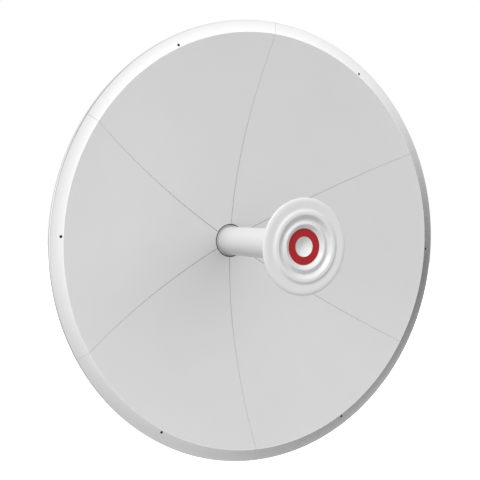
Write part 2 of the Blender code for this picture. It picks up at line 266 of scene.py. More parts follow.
def colour(name, default, description):
    """A colour as linear red, green and blue."""
    return FloatVectorProperty(name=name, description=description, default=default, size=3,
                               subtype="COLOR", min=0, max=1)


def soft_light(name, default, description):
    """Strength, azimuth and elevation in degrees, and sharpness of a soft source of light."""
    return FloatVectorProperty(name=name, description=description, default=default, size=4)


class ReflectorSizes(bpy.types.PropertyGroup):
    petals: IntProperty(name="Petals", description="Number of petals", default=6, min=3)
    crease_radius: length("Crease radius", 0.3115, "Where the bowl meets the lip")
    crease_bend: length("Crease bend", 0.0015, "Bend radius where the bowl turns into the lip")
    depth: length("Depth", 0.111, "From the crease plane back to the vertex")
    vertex_y: length("Vertex", -0.150, "Where the bowl's vertex lies along Y")
    lip_drop: length("Lip drop", 0.003, "How far the lip falls back towards the rim")
    hem_bend: length("Hem bend", 0.002, "Bend radius where the lip turns into the hem")
    hem_depth: length("Hem depth", 0.006, "How far the hem reaches behind the lip")
    sheet: length("Sheet", 0.0015, "Thickness of the sheet")
    seam_gap: length("Seam gap", 0.0007, "Gap between two petals at the centre hole")
    rim_gap: length("Rim gap", 0.0003, "Gap between two petals at the rim")
    centre_hole: length("Centre hole", 0.0268, "Radius of the hole round the feed")
    flange_depth: length("Flange depth", 0.014, "Depth of the flanges folded back at the seams")
    flange_from: length("Flange from", 0.0897, "Radius at which the flanges begin")
    lip_flange: length("Lip flange", 0.004, "Depth of the flanges behind the lip")
    lip_hole_ring: length("Lip hole ring", 0.3152, "Radius of the ring of lip holes")
    lip_hole: length("Lip hole", 0.0019, "Radius of the hole in each lip")


class FeedSizes(bpy.types.PropertyGroup):
    collar_edge: length("Collar edge", 0.0005, "Rounding of the collar's front edge")
    # The gasket is a black ring of painted shade in the gap round the collar.
    shade_ring_lap: length("Gasket lap", 0.0006, "How far the gasket reaches over the collar's edge")
    rim_round: length("Rim rounding", 0.003, "Radius of the head's rim behind its widest point")
    rim_width: length("Rim width", 0.006, "How far the rounding of the head's rim reaches inwards")
    rim_depth: length("Rim depth", 0.0022, "How far the face falls back from there to the rim")
    rim_height: length("Rim height", 0.0040, "Height of the face inside the rim over the red ring")
    head_back_radius: length("Head back", 0.060, "Radius of the head's disc at its back")
    flare_edge: length("Flare edge", 0.003, "Straight rim at the wide end of the flare")
    flare_length: length("Flare length", 0.030, "Length of the curved flare behind the head")
    flare_wall: length("Flare wall", 0.0015, "Wall at the flare's narrow end")
    inner_ridge: length("Inner ridge", 0.004, "Height of the inner ridge over the red ring")
    groove_height: length("Groove height", 0.0004, "Height of the groove between the ridges")
    outer_ridge: length("Outer ridge", 0.0058, "Height of the outer ridge over the red ring")
    valley_height: length("Valley height", 0.0037, "Height of the valley outside the outer ridge")
    inner_ridge_at: length("Inner ridge at", 0.032, "Radius of the inner ridge")
    groove_at: length("Groove at", 0.0388, "Radius of the groove between the ridges")
    outer_ridge_from: length("Outer ridge from", 0.0455, "Radius at which the outer ridge begins")
    outer_ridge_to: length("Outer ridge to", 0.0482, "Radius at which the outer ridge ends")
    valley_at: length("Valley at", 0.0535, "Radius of the valley outside the outer ridge")
    dimple_depth: length("Dimple", 0.0055, "Depth of the dished middle cap")


class HubSizes(bpy.types.PropertyGroup):
    hub_round: length("Hub rounding", 0.003, "Rounding of the hub's rear edge")
    groove: length("Hub groove", 0.001, "Depth of the turned groove on the hub")
    notch: length("Notch", 0.003, "Radius of the spanner notches in the lock ring")
    corner: length("Housing corner", 0.008, "Corner radius of the feed housing")
    rib: length("Housing groove", 0.0012, "Depth of the grooves along the feed housing")
    thread: length("Thread", 0.0004, "Depth of the connectors' thread")
    flute: length("Flute", 0.0006, "Depth of the flutes in the weather caps")


class BracketSizes(bpy.types.PropertyGroup):
    bend: length("Bend", 0.002, "Inner bend radius of the tilt cheeks")
    cheek_corner: length("Cheek corner", 0.018, "Corner radius of the cheeks' free end")
    foot_corner: length("Foot corner", 0.006, "Corner radius of the cheeks' feet")
    ear_corner: length("Ear corner", 0.022, "Corner radius of the ears' free end")
    plate_corner: length("Plate corner", 0.008, "Corner radius of the mount plate")
    pivot_y: length("Pivot", -0.062, "Where the tilt pivot lies along Y")
    pivot_z: length("Pivot height", 0.022, "Height of the tilt pivot above the axis")
    slot_radius: length("Slot radius", 0.044, "Radius of the arc slot round the pivot")
    slot_swing: degrees("Slot swing", 16, "How far the slot reaches to each side")
    hole: length("Bolt hole", 0.0045, "Radius of the holes for the tilt bolts")
    mark_depth: length("Mark depth", 0.0003, "Depth of the tilt marks beside the slot")
    weld: length("Weld", 0.0024, "Radius of the weld beads at the ears")
    mount_hole: length("Mount hole", 0.005, "Radius of the holes in the mount plate")
    mount_hole_x: length("Mount hole across", 0.050, "How far the holes lie from the middle")
    mount_hole_z: length("Mount hole up", 0.064, "How far the holes lie above and below it")


class Finishes(bpy.types.PropertyGroup):
    petal: colour("Petal paint", (0.90, 0.895, 0.90), "Colour of the petals")
    plastic: colour("White plastic", (0.61, 0.61, 0.615), "Colour of the feed")
    red: colour("Red plastic", (0.34, 0.010, 0.014), "Colour of the ring on the head")
    casting: colour("Painted casting", (0.60, 0.61, 0.62), "Colour of hub and housing")
    nickel: colour("Nickel", (0.62, 0.60, 0.55), "Colour of ring and connectors")
    # This near black is rubber on the weather caps, and painted shade on the ring round the
    # collar, the strips in the bowl's seams and the lip's rivet nuts.
    rubber: colour("Rubber", (0.025, 0.025, 0.027), "Colour of the weather caps")
    # The lip's seam strips are this grey as a paler painted shade of the gap.
    paler_seam_shade: colour("Sealant", (0.40, 0.40, 0.41), "Colour of the strips in the lip's seams")
    zinc: colour("Zinc", (0.58, 0.60, 0.62), "Colour of the bracket")
    steel: colour("Bolt steel", (0.66, 0.66, 0.66), "Colour of the bolts")


class Studio(bpy.types.PropertyGroup):
    azimuth: degrees("Azimuth", -29.2, "Turn of the camera round the dish")
    elevation: degrees("Elevation", 1.96, "Height of the camera as an angle")
    roll: degrees("Roll", 2.67, "Turn of the camera about its view line")
    distance: length("Distance", 1.2182, "From the camera to its target")
    target: FloatVectorProperty(name="Target", description="Point on the camera's view line",
                                default=(-0.0532, -0.261, -0.0132), subtype="TRANSLATION",
                                unit="LENGTH", size=3)
    lens: FloatProperty(name="Lens", description="Focal length in millimetres", default=62.19)
    shift_x: FloatProperty(name="Shift across", description="Camera shift across", default=0.0114)
    shift_y: FloatProperty(name="Shift up", description="Camera shift upwards", default=0.0238)
    floor_z: length("Floor", -1.5, "Height of the floor")
    surround: FloatProperty(name="Surround", description="Even light from all sides", default=0.7)
    fill: soft_light("Fill", (0.93, 28, 5, 7), "Broad soft light from the front")
    upper_screen: soft_light("Upper screen", (-0.72, -54, 36, 11), "Dark screen at the upper left")
    near_screen: soft_light("Near screen", (-0.58, 40, 0, 20), "Dark screen at the right")
    side_screen: soft_light("Side screen", (-0.68, 63, -2, 20), "Dark screen further right")
    low_screen: soft_light("Low screen", (-0.52, 44, -26, 20), "Dark screen at the lower right")
    floor_screen: soft_light("Floor screen", (-0.26, 10, -27, 20), "Dark screen low in front")
    side: soft_light("Side", (0.9, -98, 12, 8), "Broad soft light from the left")
    rear: soft_light("Rear", (0.34, 150, 45, 2.5), "Broad soft light from behind and above")
    rear_screen: soft_light("Rear screen", (-0.35, 195, -40, 2.5), "Dark screen below the back")
    feed_lamp: FloatProperty(name="Feed lamp", description="Strength of the lamp on the feed",
                             default=2.8)
    feed_lamp_azimuth: degrees("Feed lamp azimuth", -57, "Turn of the lamp round the dish")
    feed_lamp_elevation: degrees("Feed lamp elevation", 40, "Height of the lamp as an angle")
    feed_lamp_width: degrees("Feed lamp width", 26, "Width of the lamp as seen from the feed")


# Materials

def add_node(tree, kind, inputs, **settings):
    """Adds a shader node: an input that is a socket is linked, and any other is set."""
    made = tree.nodes.new(kind)
    for name, value in settings.items():
        setattr(made, name, value)
    for name, value in inputs.items():
        if isinstance(value, bpy.types.NodeSocket):
            tree.links.new(value, made.inputs[name])
        else:
            made.inputs[name].default_value = value
    return made


def math_node(tree, operation, first, second=0.0):
    """Adds one step of arithmetic and gives its result."""
    made = add_node(tree, "ShaderNodeMath", {0: first, 1: second}, operation=operation)
    return made.outputs["Value"]


class Finish:
    """A procedural material: its nodes read the piece's own coordinates, in metres."""

    def __init__(self, name, base, roughness, metallic=0.0):
        self.material = bpy.data.materials.new(f"{name}_finish")
        self.material.use_nodes = True
        self.tree = self.material.node_tree
        self.shader = self.tree.nodes["Principled BSDF"]
        self.shader.inputs["Base Color"].default_value = (*base, 1)
        self.shader.inputs["Roughness"].default_value = roughness
        self.shader.inputs["Metallic"].default_value = metallic
        self.base = base
        self.place = self.tree.nodes.new("ShaderNodeTexCoord").outputs["Object"]

    def node(self, kind, inputs, **settings):
        """Adds a node to this material."""
        return add_node(self.tree, kind, inputs, **settings)

    def noise(self, scale, detail=2.0):
        """Soft random spots, about this many to a metre."""
        return self.node("ShaderNodeTexNoise", {
            "Vector": self.place, "Scale": scale, "Detail": detail}).outputs["Fac"]

    def cells(self, scale):
        """Random cells, each with a colour of its own."""
        return self.node("ShaderNodeTexVoronoi", {
            "Vector": self.place, "Scale": scale}).outputs["Color"]

    def ranged(self, value, low, high, start=0.3, end=0.7):
        """Stretches a value that runs from start to end to run from low to high."""
        return self.node("ShaderNodeMapRange", {
            "Value": value, "From Min": start, "From Max": end, "To Min": low,
            "To Max": high}).outputs["Result"]

    def shades(self, factor, dark, light):
        """Mixes two shades of the base colour and feeds the shader."""
        mix = self.node("ShaderNodeMix", {
            "Factor": factor, "A": (*(dark * c for c in self.base), 1),
            "B": (*(light * c for c in self.base), 1)}, data_type="RGBA")
        self.feed(mix.outputs["Result"], "Base Color")

    def feed(self, value, name):
        """Links a value to one of the shader's inputs."""
        self.tree.links.new(value, self.shader.inputs[name])

    def bump(self, height, distance, strength=1.0):
        """Raises the surface by up to a distance in metres, in its shading alone."""
        made = self.node("ShaderNodeBump", {
            "Height": height, "Distance": distance, "Strength": strength})
        self.feed(made.outputs["Normal"], "Normal")


def petal_paint(finishes):
    """Powder coat: matt in the bowl, smoother and more mirror-like on the lip and the hem."""
    made = Finish("petal_paint", finishes.petal, 0.5)
    made.shades(made.ranged(made.noise(7.0, detail=3.0), 0, 1), dark=0.985, light=1.01)
    parts = made.node("ShaderNodeSeparateXYZ", {"Vector": made.place})
    flat = made.node("ShaderNodeCombineXYZ", {"X": parts.outputs["X"], "Z": parts.outputs["Z"]})
    radius = made.node("ShaderNodeVectorMath", {0: flat.outputs["Vector"]}, operation="LENGTH")
    lip, blend = bpy.context.scene.dish_reflector.crease_radius, 0.0004
    on_lip = made.ranged(radius.outputs["Value"], 0, 1, start=lip - blend, end=lip + blend)
    made.feed(made.ranged(on_lip, 0.0, 0.95, start=0, end=1), "Metallic")
    speckle = made.ranged(made.noise(260.0), -0.03, 0.03)
    rough = made.ranged(on_lip, 0.5, 0.22, start=0, end=1)
    made.feed(math_node(made.tree, "ADD", rough, speckle), "Roughness")
    made.bump(made.noise(900.0), distance=0.00002, strength=0.25)
    return made


def mottled(name, base, roughness, metallic, tone, gloss, grain):
    """A finish of fine noise: each of tone, gloss and grain starts with its scale and detail.

    Tone ends with its dark and light shades, gloss with its smooth and rough ends, and grain with
    its height and strength.
    """
    made = Finish(name, base, roughness, metallic)
    made.shades(made.ranged(made.noise(*tone[:2]), 0, 1), *tone[2:])
    made.feed(made.ranged(made.noise(*gloss[:2]), *gloss[2:]), "Roughness")
    made.bump(made.noise(*grain[:2]), *grain[2:])
    return made


def white_plastic(finishes):
    """The feed's plastic, slightly uneven in its gloss."""
    return mottled("white_plastic", finishes.plastic, 0.34, 0.0, tone=(30.0, 3.0, 0.985, 1.0),
                   gloss=(420.0, 2.0, 0.30, 0.40), grain=(1400.0, 2.0, 0.00002, 0.2))


def red_plastic(finishes):
    """The red ring's plastic, duller than the white."""
    made = mottled("red_plastic", finishes.red, 0.42, 0.0, tone=(120.0, 3.0, 0.94, 1.05),
                   gloss=(500.0, 2.0, 0.38, 0.48), grain=(1500.0, 2.0, 0.00003, 0.3))
    made.shader.inputs["Specular IOR Level"].default_value = 0.2
    return made


def painted_casting(finishes):
    """Grey paint over the grain of a casting."""
    return mottled("painted_casting", finishes.casting, 0.55, 0.0, tone=(45.0, 4.0, 0.93, 1.04),
                   gloss=(300.0, 2.0, 0.48, 0.62), grain=(650.0, 4.0, 0.00015, 0.5))


def nickel(finishes):
    """Plated metal of the lock ring and the connectors."""
    return mottled("nickel", finishes.nickel, 0.28, 1.0, tone=(90.0, 4.0, 0.88, 1.05),
                   gloss=(800.0, 2.0, 0.22, 0.36), grain=(1800.0, 2.0, 0.00002, 0.3))


def black_rubber(finishes):
    """Matt black: real rubber on the weather caps, and painted shade in the gap round the collar
    and in the bowl's seams.
    """
    return mottled("black_rubber", finishes.rubber, 0.7, 0.0, tone=(150.0, 4.0, 0.8, 1.5),
                   gloss=(400.0, 2.0, 0.62, 0.8), grain=(1200.0, 3.0, 0.00006, 0.5))


def grey_seam_shade(finishes):
    """Mid grey in the seams between the lips of the petals: a paler painted shade of the gap."""
    return mottled("grey_seam_shade", finishes.paler_seam_shade, 0.5, 0.0, tone=(150.0, 4.0, 0.9, 1.05),
                   gloss=(400.0, 2.0, 0.42, 0.6), grain=(1200.0, 3.0, 0.00004, 0.4))


def zinc_steel(finishes):
    """Hot-dip zinc: spangles a few millimetres wide, each with its own shade."""
    made = Finish("zinc_steel", finishes.zinc, 0.45, 0.85)
    spangle = made.node("ShaderNodeSeparateColor", {"Color": made.cells(160.0)}).outputs["Red"]
    made.shades(made.ranged(spangle, 0, 1, start=0, end=1), dark=0.86, light=1.08)
    made.feed(made.ranged(made.noise(120.0, detail=4.0), 0.38, 0.55), "Roughness")
    made.bump(made.noise(500.0, detail=3.0), distance=0.00005, strength=0.4)
    return made


def bolt_steel(finishes):
    """Bright steel of the bolts and nuts."""
    return mottled("bolt_steel", finishes.steel, 0.3, 1.0, tone=(200.0, 4.0, 0.9, 1.04),
                   gloss=(700.0, 2.0, 0.24, 0.38), grain=(1500.0, 2.0, 0.00003, 0.3))


def black_hole_shade(finishes):
    """Near-black steel of the rivet nuts in the lip: painted shade, so that each hole in the lip
    reads dark.
    """
    return mottled("black_hole_shade", finishes.rubber, 0.5, 0.2, tone=(300.0, 4.0, 0.7, 1.2),
                   gloss=(600.0, 2.0, 0.45, 0.6), grain=(900.0, 2.0, 0.00003, 0.3))


def weld_metal(finishes):
    """Weld beads, darker than the zinc beside them."""
    return mottled("weld_metal", finishes.zinc, 0.5, 0.85, tone=(350.0, 4.0, 0.62, 0.95),
                   gloss=(600.0, 2.0, 0.42, 0.6), grain=(800.0, 3.0, 0.0001, 0.5))


FINISHES = {maker.__name__: maker for maker in (
    petal_paint, white_plastic, red_plastic, painted_casting, nickel, black_rubber, grey_seam_shade,
    zinc_steel, bolt_steel, black_hole_shade, weld_metal)}


def finish(name):
    """The material of this name, made on its first use."""
    made = bpy.data.materials.get(f"{name}_finish")
    return made or FINISHES[name](bpy.context.scene.dish_finishes).material


# Reflector

def focal_length(sizes):
    """The bowl's focal length, from its depth at the crease."""
    return sizes.crease_radius ** 2 / (4 * sizes.depth)


def bowl_y(sizes, radius):
    """Where the bowl's front lies along Y at a radius."""
    return sizes.vertex_y - radius ** 2 / (4 * focal_length(sizes))


def lip_y(sizes, radius):
    """Where the lip's front lies along Y at a radius; it falls back towards the rim."""
    slope = sizes.lip_drop / (RIM - sizes.hem_bend - sizes.crease_radius)
    return sizes.vertex_y - sizes.depth + slope * (radius - sizes.crease_radius)


def petal_profile(sizes):
    """(radius, y) from the centre hole over the bowl, the crease, the lip and the hem."""
    steps = 36
    crease = (sizes.crease_radius, lip_y(sizes, sizes.crease_radius))
    corner = (RIM, lip_y(sizes, RIM))
    end = (RIM, crease[1] + sizes.lip_drop + sizes.hem_depth)
    last = sizes.crease_radius - sizes.crease_bend
    radii = [sizes.centre_hole + (last - sizes.centre_hole) * i / steps for i in range(steps + 1)]
    bowl = [(radius, bowl_y(sizes, radius)) for radius in radii]
    over = fillet(bowl[-1], crease, corner, sizes.crease_bend, 6)
    hem = fillet(crease, corner, end, sizes.hem_bend, 5)
    return bowl + over + hem + [end]


def half_gap(sizes, radius):
    """Half the gap between two petals, which narrows from the centre hole to the rim."""
    share = (radius - sizes.centre_hole) / (RIM - sizes.centre_hole)
    return (sizes.seam_gap + (sizes.rim_gap - sizes.seam_gap) * share) / 2


def seam_plane(sizes, side):
    """A point on one of the petal's two cut edges, and the direction that this edge faces."""
    half_wedge = pi / sizes.petals
    across = Vector((side * cos(half_wedge), 0, -sin(half_wedge)))
    outwards = Vector((side * sin(half_wedge), 0, cos(half_wedge)))
    start, end = [outwards * radius - across * half_gap(sizes, radius)
                  for radius in (sizes.centre_hole, RIM)]
    edge = (end - start).normalized()
    return start, (across - edge * across.dot(edge)).normalized()


def fold_flange(bm, point, facing, low, high, depth):
    """Folds back the edge that lies on a seam plane, between two radii."""
    line = [edge for edge in bm.edges if edge.is_boundary and all(
        abs((v.co - point).dot(facing)) < NEAR and low < v.co.xz.length < high
        for v in edge.verts)]
    made = bmesh.ops.extrude_edge_only(bm, edges=line)
    bmesh.ops.translate(bm, verts=new_verts(made), vec=(0, depth, 0))


def petal_mesh(sizes, index):
    """One petal's front surface between its two seams, with its flanges folded back."""
    bm = bmesh.new()
    wedge, steps = tau / sizes.petals, 32
    verts = [bm.verts.new((0, y, radius)) for radius, y in petal_profile(sizes)]
    edges = [bm.edges.new(pair) for pair in zip(verts, verts[1:])]
    bmesh.ops.rotate(bm, verts=verts, cent=(0, 0, 0), matrix=Matrix.Rotation(-wedge / 2, 3, "Y"))
    bmesh.ops.spin(bm, geom=verts + edges, cent=(0, 0, 0), axis=(0, 1, 0), angle=wedge,
                   steps=steps)
    seams = [seam_plane(sizes, side) for side in (-1, 1)]
    for point, facing in seams:
        bmesh.ops.bisect_plane(bm, geom=bm.verts[:] + bm.edges[:] + bm.faces[:], dist=1e-7,
                               plane_co=point, plane_no=facing, clear_outer=True)
    for seam in seams:
        fold_flange(bm, *seam, sizes.flange_from, sizes.crease_radius, sizes.flange_depth)
        fold_flange(bm, *seam, sizes.crease_radius, RIM - sizes.hem_bend, sizes.lip_flange)
    bmesh.ops.recalc_face_normals(bm, faces=bm.faces)
    innermost = min(bm.faces, key=lambda face: face.calc_center_median().xz.length)
    if innermost.normal.y > 0:
        bmesh.ops.reverse_faces(bm, faces=bm.faces)
    turn = Matrix.Rotation(wedge * (index + 0.5), 3, "Y")
    bmesh.ops.rotate(bm, verts=bm.verts, cent=(0, 0, 0), matrix=turn)
    return bm


def lip_spots(sizes):
    """The middle of each petal's lip, on the ring of holes."""
    ring = sizes.lip_hole_ring
    turns = [tau * (k + 0.5) / sizes.petals for k in range(sizes.petals)]
    return [Vector((ring * sin(turn), lip_y(sizes, ring), ring * cos(turn))) for turn in turns]


def make_petal(sizes, index):
    """One petal of sheet metal, with the small hole in its lip and rounded edges."""
    petal = new_object(f"reflector_petal_{index + 1}", petal_mesh(sizes, index), False)
    wall = petal.modifiers.new("sheet", "SOLIDIFY")
    wall.thickness = sizes.sheet
    wall.offset = -1
    wall.use_even_offset = True
    bake(petal)
    cut_out(petal, hole_tool("lip_hole_tool", lip_spots(sizes), (0, 1, 0), REACH, sizes.lip_hole))
    round_edges(petal, width=0.0003, angle=50)
    finish_piece(petal, "petal_paint", f"petal_{index + 1}")


def shade_strip_outline(surface, recess, depth):
    """(radius, y) round a strip that fills the gap behind these points of the surface."""
    front = [(r, y + recess) for r, y in surface]
    back = [(r, y + depth(r)) for r, y in reversed(surface)]
    return front + back


def bowl_shade_strip(sizes):
    """The outline of the strips in the bowl: thin over the hub, and deep between the flanges."""
    recess, short, before_flange = 0.0005, 0.0012, sizes.flange_from - 0.0001
    surface = [(r, y) for r, y in petal_profile(sizes) if r < sizes.crease_radius]
    surface = sorted(surface + [(before_flange, bowl_y(sizes, before_flange))])

    def depth(radius):
        return sizes.flange_depth - short if radius > before_flange else sizes.sheet

    return shade_strip_outline(surface, recess, depth)


def lip_shade_strip(sizes):
    """The outline of the strips in the lip, flush with its surface."""
    short, end = 0.0012, RIM - 0.0004
    surface = [(r, y) for r, y in petal_profile(sizes) if sizes.crease_radius < r < end]
    return shade_strip_outline(surface, 0.0, lambda radius: sizes.lip_flange - short)


def make_seam_shade_strips(name, sizes, outline, look):
    """A strip in each seam, coloured as painted shade, which shows as the line between two petals.
    """
    clearance = 0.00005
    bm = bmesh.new()
    for seam in range(sizes.petals):
        turn = Matrix.Rotation(tau * seam / sizes.petals, 3, "Y")
        near = [bm.verts.new((-1, y, radius)) for radius, y in outline]
        made = bmesh.ops.extrude_face_region(bm, geom=[bm.faces.new(near)])
        far = new_verts(made)
        bmesh.ops.translate(bm, verts=far, vec=(2, 0, 0))
        for v in near + far:
            v.co.x *= half_gap(sizes, v.co.z) - clearance
        bmesh.ops.rotate(bm, verts=near + far, cent=(0, 0, 0), matrix=turn)
    finish_piece(new_object(name, bm), look, sharp=30, slot="black_rubber")


class DISH_OT_reflector(bpy.types.Operator):
    """Makes the petals with lip, hem, seam flanges and lip holes, and strips of painted shade in
    the seams between them
    """
    bl_idname = "dish.reflector"
    bl_label = "Reflector petals"

    def execute(self, context):
        sizes = context.scene.dish_reflector
        for index in range(sizes.petals):
            make_petal(sizes, index)
        # The strips in the seams are painted shade of the gaps: near black in the bowl, mid grey
        # in the lip.
        make_seam_shade_strips("bowl_seam_shade_strips", sizes, bowl_shade_strip(sizes), "black_rubber")
        make_seam_shade_strips("lip_seam_shade_strips", sizes, lip_shade_strip(sizes), "grey_seam_shade")
        return {"FINISHED"}


# Feed tube and collar

def tube_bore():
    """The radius of the holes that the feed tube passes through."""
    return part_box("feed_tube")[1].x + GAP


def make_tube():
    """The feed tube, through the hub and the collar to the head."""
    low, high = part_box("feed_tube")
    tube = new_object("tube_shell", spun(band(0, high.x, low.y, high.y)))
    finish_piece(tube, "white_plastic", "feed_tube", sharp=40)


def make_collar(sizes):
    """A thin ring with a groove next to the tube; the black ring of painted shade laps its outer
    edge.
    """
    edge = sizes.collar_edge
    low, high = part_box("feed_collar")
    high.x -= sizes.shade_ring_lap
    bore, width, depth = tube_bore(), 0.0011, 0.0016
    groove, floor_y = bore + width, low.y + depth
    inner = fillet((groove, floor_y), (groove, low.y), (high.x, low.y), edge)
    outer = fillet((groove, low.y), (high.x, low.y), (high.x, high.y), edge)
    outline = [(bore, floor_y), (groove, floor_y)] + inner + outer
    collar = new_object("collar_ring", spun(outline + [(high.x, high.y), (bore, high.y)]))
    finish_piece(collar, "white_plastic", "feed_collar", sharp=40)


def make_collar_gap_shade(sizes, reflector):
    """A black ring in the gap between the petals and the collar: painted shade of that gap."""
    clearance, recess, thick = 0.0001, 0.0004, 0.0012
    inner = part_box("feed_collar")[1].x - sizes.shade_ring_lap + clearance
    outer = reflector.centre_hole - clearance
    front = bowl_y(reflector, reflector.centre_hole) + recess
    gasket = new_object("collar_gap_shade", spun(band(inner, outer, front, front + thick)))
    finish_piece(gasket, "black_rubber", sharp=40)


def make_flare(sizes):
    """The back of the head, which narrows in a curve to the tube."""
    low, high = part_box("head_back")
    bore = tube_bore()
    steps = 24
    sweep = high.x - bore - sizes.flare_wall
    curve = []
    for i in range(steps + 1):
        turn = pi / 2 * i / steps
        y = low.y + sizes.flare_edge + sizes.flare_length * (1 - cos(turn))
        curve.append((high.x - sweep * sin(turn), y))
    outline = [(bore, low.y), (high.x, low.y)] + curve + [(bore, curve[-1][1])]
    flare = new_object("head_flare", spun(outline))
    finish_piece(flare, "white_plastic", "head_back", sharp=40)


class DISH_OT_feed(bpy.types.Operator):
    """Makes the feed tube, its collar with the black ring of painted shade round it, and the
    flared back of the head
    """
    bl_idname = "dish.feed"
    bl_label = "Feed tube"

    def execute(self, context):
        make_tube()
        make_collar(context.scene.dish_feed)
        make_collar_gap_shade(context.scene.dish_feed, context.scene.dish_reflector)
        make_flare(context.scene.dish_feed)
        return {"FINISHED"}


# Head of the feed

def ripples(sizes, first, last):
    """(radius, height over the red ring) of each trough and crest of the face, up to its rim."""
    return ((first, 0), (sizes.inner_ridge_at, sizes.inner_ridge),
            (sizes.groove_at, sizes.groove_height), (sizes.outer_ridge_from, sizes.outer_ridge),
            (sizes.outer_ridge_to, sizes.outer_ridge), (sizes.valley_at, sizes.valley_height),
            (last, sizes.rim_height))


def wave(sizes, first, last, ring_y):
    """(radius, y) over the face's crests and troughs, with smooth slopes between them."""
    steps = 12
    knots = ripples(sizes, first, last)
    points = []
    for (inner, low_height), (outer, high_height) in zip(knots, knots[1:]):
        for i in range(steps):
            swing = (1 - cos(pi * i / steps)) / 2
            height = low_height + (high_height - low_height) * swing
            points.append((inner + (outer - inner) * i / steps, ring_y - height))
    return points


def head_rim(sizes, radius, front_y):
    """The rounding of the head's rim: wide and shallow in front, a quarter turn behind."""
    steps = 12
    front = []
    for i in range(steps):
        turn = pi / 2 * i / steps
        front.append((radius - sizes.rim_width * (1 - sin(turn)),
                      front_y + sizes.rim_depth * (1 - cos(turn))))
    centre = (radius - sizes.rim_round, front_y + sizes.rim_depth)
    return front + arc(centre, sizes.rim_round, 0, pi / 2, steps // 2)


def make_face(sizes):
    """The rippled disc with its seat for the red ring and its pocket for the middle cap."""
    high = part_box("head_face")[1]
    ring_low, ring_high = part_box("red_ring")
    seat, pocket = ring_high.x + GAP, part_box("centre_cap")[1].x + GAP
    floor_y, pocket_y = ring_high.y + GAP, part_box("centre_cap")[1].y + GAP
    middle = [(0, pocket_y), (pocket, pocket_y), (pocket, floor_y), (seat, floor_y)]
    ripple = wave(sizes, seat, high.x - sizes.rim_width, ring_low.y)
    edge = head_rim(sizes, high.x, ring_low.y - sizes.rim_height)
    back = [(sizes.head_back_radius, high.y), (0, high.y)]
    face = new_object("head_disc", spun(middle + ripple + edge + back, RING_STEPS))
    finish_piece(face, "white_plastic", "head_face", sharp=60)


def make_red_ring():
    """The flat red ring round the middle cap."""
    low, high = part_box("red_ring")
    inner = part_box("centre_cap")[1].x + GAP
    ring = new_object("red_insert", spun(band(inner, high.x, low.y, high.y), RING_STEPS))
    finish_piece(ring, "red_plastic", "red_ring", sharp=40)


def make_middle_cap(sizes):
    """The cap in the middle of the head, dished to a shallow bowl."""
    ring_y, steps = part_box("red_ring")[0].y, 16
    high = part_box("centre_cap")[1]
    dish = [(high.x * i / steps, ring_y + sizes.dimple_depth * (1 - (i / steps) ** 2))
            for i in range(steps + 1)]
    cap = new_object("middle_cap", spun(dish + [(high.x, high.y), (0, high.y)]))
    finish_piece(cap, "white_plastic", "centre_cap", sharp=50)


class DISH_OT_head(bpy.types.Operator):
    """Makes the rippled face of the head, its red ring and its dished middle cap"""
    bl_idname = "dish.head"
    bl_label = "Feed head"

    def execute(self, context):
        sizes = context.scene.dish_feed
        make_face(sizes)
        make_red_ring()
        make_middle_cap(sizes)
        return {"FINISHED"}


# Hub and lock ring

def make_hub_body(sizes, reflector):
    """The casting behind the petals: its front follows the bowl's back, clear of it by a gap."""
    low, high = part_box("hub_plate")
    radius, bore, first, steps = high.x, tube_bore(), reflector.centre_hole, 14

    def front_y(r):
        slope = r / (2 * focal_length(reflector))
        return bowl_y(reflector, r) + reflector.sheet * (1 + slope ** 2) ** 0.5 + GAP

    radii = [first + (radius - first) * i / steps for i in range(steps + 1)]
    front = [(bore, front_y(first))] + [(r, front_y(r)) for r in radii]
    rear = fillet((radius, low.y), (radius, high.y), (bore, high.y), sizes.hub_round, 6)
    groove_out, groove_in, floor_y = 0.0835, 0.0805, high.y - sizes.groove
    groove = [(groove_out, high.y), (groove_out - sizes.groove / 2, floor_y),
              (groove_in + sizes.groove / 2, floor_y), (groove_in, high.y)]
    hub = new_object("hub_body", spun(front + rear + groove + [(bore, high.y)], RING_STEPS))
    round_edges(hub, width=0.0004)
    finish_piece(hub, "painted_casting", "hub_plate")


def make_notched_ring(sizes):
    """The ring nut that holds the feed, with notches for its spanner."""
    low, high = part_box("lock_ring")
    radius, chamfer, notches = high.x, 0.0015, 8
    outline = [(0, low.y), (radius, low.y), (radius, high.y - chamfer), (radius - chamfer, high.y),
               (0, high.y)]
    ring = new_object("notched_ring", spun(outline))
    turns = [tau * (k + 0.5) / notches for k in range(notches)]
    spots = [(radius * sin(t), (low.y + high.y) / 2, radius * cos(t)) for t in turns]
    cut_out(ring, hole_tool("notch_tool", spots, (0, 1, 0), REACH, sizes.notch, 24))
    round_edges(ring, width=0.0003)
    finish_piece(ring, "nickel", "lock_ring")


class DISH_OT_hub(bpy.types.Operator):
    """Makes the cast hub behind the petals and the lock ring of the feed"""
    bl_idname = "dish.hub"
    bl_label = "Hub"

    def execute(self, context):
        make_hub_body(context.scene.dish_hub, context.scene.dish_reflector)
        make_notched_ring(context.scene.dish_hub)
        return {"FINISHED"}


# Feed housing with its connectors

